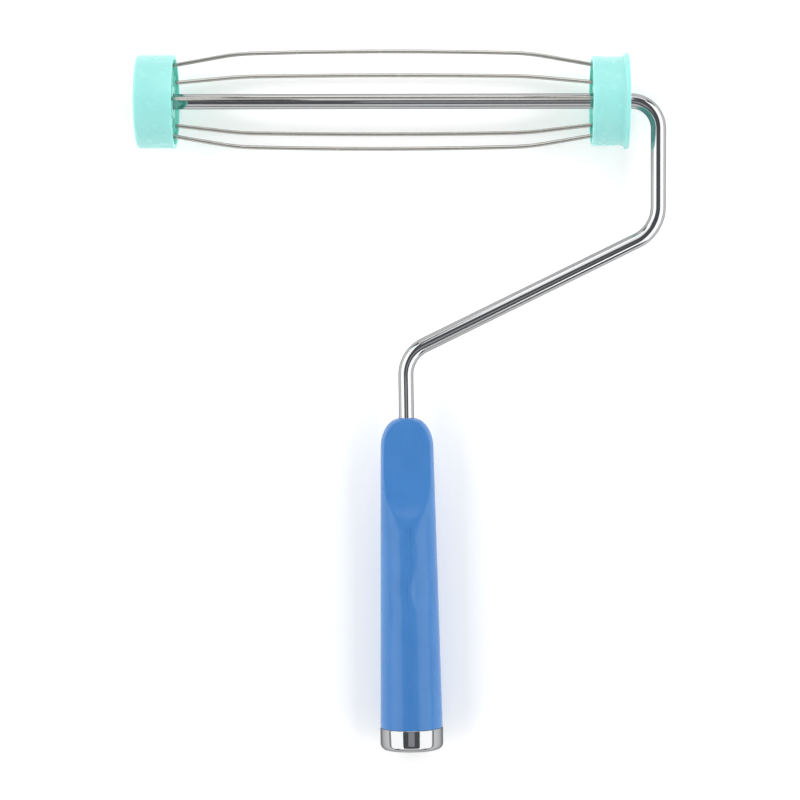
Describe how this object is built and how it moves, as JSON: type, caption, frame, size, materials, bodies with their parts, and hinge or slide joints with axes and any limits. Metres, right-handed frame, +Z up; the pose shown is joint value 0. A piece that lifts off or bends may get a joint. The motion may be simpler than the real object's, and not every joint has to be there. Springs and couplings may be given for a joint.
{
  "type": "cage paint roller frame",
  "caption": "Cage roller frame for nine-inch paint and pattern sleeves: sprung wire cage on a cranked chrome rod, with a plastic handle.",
  "frame": {"origin": "on the table, under the middle of the tool's bounding box, with the tool lying on its flange and its ferrule", "axes": "+X along the cage's axle from the outer cap to the flanged one, +Y from the handle towards the cage, +Z up"},
  "size_m": [0.2496, 0.3304, 0.0475],
  "materials": {
    "chrome": "bright plated",
    "mint_plastic": "smooth moulded, slightly translucent",
    "blue_plastic": "smooth moulded, satin gloss",
    "black_nylon": "moulded",
    "white_nylon": "moulded",
    "steel": "bright zinc plated"
  },
  "bodies": {
    "handle_frame": {"frame_rod": "chrome", "handle_grip": "blue_plastic", "handle_core": "black_nylon", "threaded_insert": "black_nylon", "ferrule": "chrome", "outer_thrust_washer": "steel", "push_nut": "steel", "inner_thrust_washer": "steel"},
    "cage": {"outer_end_cap": "mint_plastic", "outer_wire_plate": "mint_plastic", "outer_bearing_bush": "white_nylon", "end_cover": "mint_plastic", "flanged_end_cap": "mint_plastic", "inner_wire_plate": "mint_plastic", "inner_bearing_bush": "white_nylon", "cage_wire_1": "chrome", "cage_wire_2": "chrome", "cage_wire_3": "chrome", "cage_wire_4": "chrome", "cage_wire_5": "chrome"}
  },
  "joints": [
    {"name": "cage_spin", "type": "hinge", "parent": "handle_frame", "child": "cage", "pos_m": [-0.0105, 0.14168, 0.0226], "axis": [1, 0, 0], "continuous": true}
  ]
}
